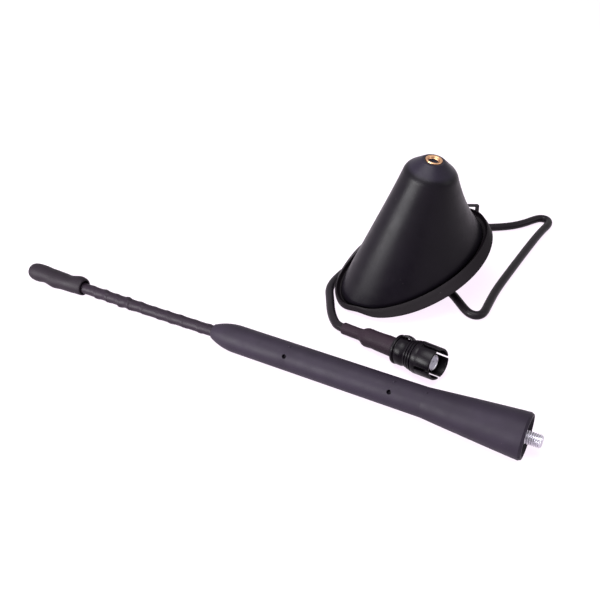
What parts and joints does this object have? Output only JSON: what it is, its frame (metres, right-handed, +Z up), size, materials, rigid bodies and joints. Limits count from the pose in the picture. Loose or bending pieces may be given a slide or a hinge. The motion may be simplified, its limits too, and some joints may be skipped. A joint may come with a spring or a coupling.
{
  "type": "car roof aerial kit",
  "caption": "Unscrewed whip mast with a flared grip and threaded stud, conical roof base with gasket and threaded insert, and a coax pigtail ending in a push-fit plug.",
  "frame": {"origin": "on the floor under the middle of the bounding box of the mast and the base, the pigtail and its plug left out", "axes": "+Z up from the floor, +X along the lying mast from its tip towards its stud, +Y from the mast towards the base"},
  "size_m": [0.2362, 0.1726, 0.0677],
  "materials": {
    "rubber_grip": "satin over-moulded rubber, near black with a slight violet cast",
    "rubber_cap": "matte soft rubber",
    "rubber_seal": "matte seal rubber",
    "shrink_whip": "matte heat-shrink tube over the wound whip",
    "spring_steel": "plain drawn",
    "zinc_steel": "bright zinc plate",
    "housing_black": "fine satin moulded surface",
    "brass": "machined",
    "die_cast": "as cast zinc alloy",
    "hook_black": "moulded",
    "board_green": "solder mask",
    "can_tin": "tinned sheet",
    "jacket": "extruded jacket, satin",
    "shrink_plug": "matte heat-shrink, slightly brown",
    "plug_black": "moulded, half gloss",
    "contact_metal": "plated contact",
    "insulator_white": "white insulator"
  },
  "bodies": {
    "base": {"housing": "housing_black", "brass_insert": "brass", "feed_rod": "brass", "gasket": "rubber_seal", "mounting_plate": "die_cast", "mounting_shank": "die_cast", "cable_grommet": "rubber_seal", "latch_hook": "hook_black", "circuit_board": "board_green", "shield_can": "can_tin", "thin_sleeve": "shrink_plug", "thick_sleeve": "shrink_plug", "plug_shell": "plug_black", "outer_contact": "contact_metal", "insulator": "insulator_white", "centre_contact": "brass", "pigtail": "jacket"},
    "mast": {"tip_cap": "rubber_cap", "whip_rod": "spring_steel", "whip_sleeve": "shrink_whip", "mast_grip": "rubber_grip", "mast_stud": "zinc_steel", "stud_flange": "zinc_steel"},
    "washer": {"claw_washer": "zinc_steel"},
    "nut": {"mounting_nut": "zinc_steel"}
  },
  "joints": [
    {"name": "mast_turn", "type": "hinge", "parent": "base", "child": "mast", "pos_m": [0.11285, -0.0533, 0.00882], "axis": [0.9998, 0, 0.021], "continuous": true},
    {"name": "washer_slide", "type": "slide", "parent": "base", "child": "washer", "axis": [-0.1577, -0.3705, 0.9153], "range_m": [0, 0.00076]},
    {"name": "nut_turn", "type": "hinge", "parent": "washer", "child": "nut", "pos_m": [0.0418, 0.02503, 0.01205], "axis": [-0.1577, -0.3705, 0.9153], "range_deg": [0, 180]}
  ],
  "couplings": [
    {"joint": "washer_slide", "follows": "nut_turn", "m_per_rad": 0.00023873}
  ]
}
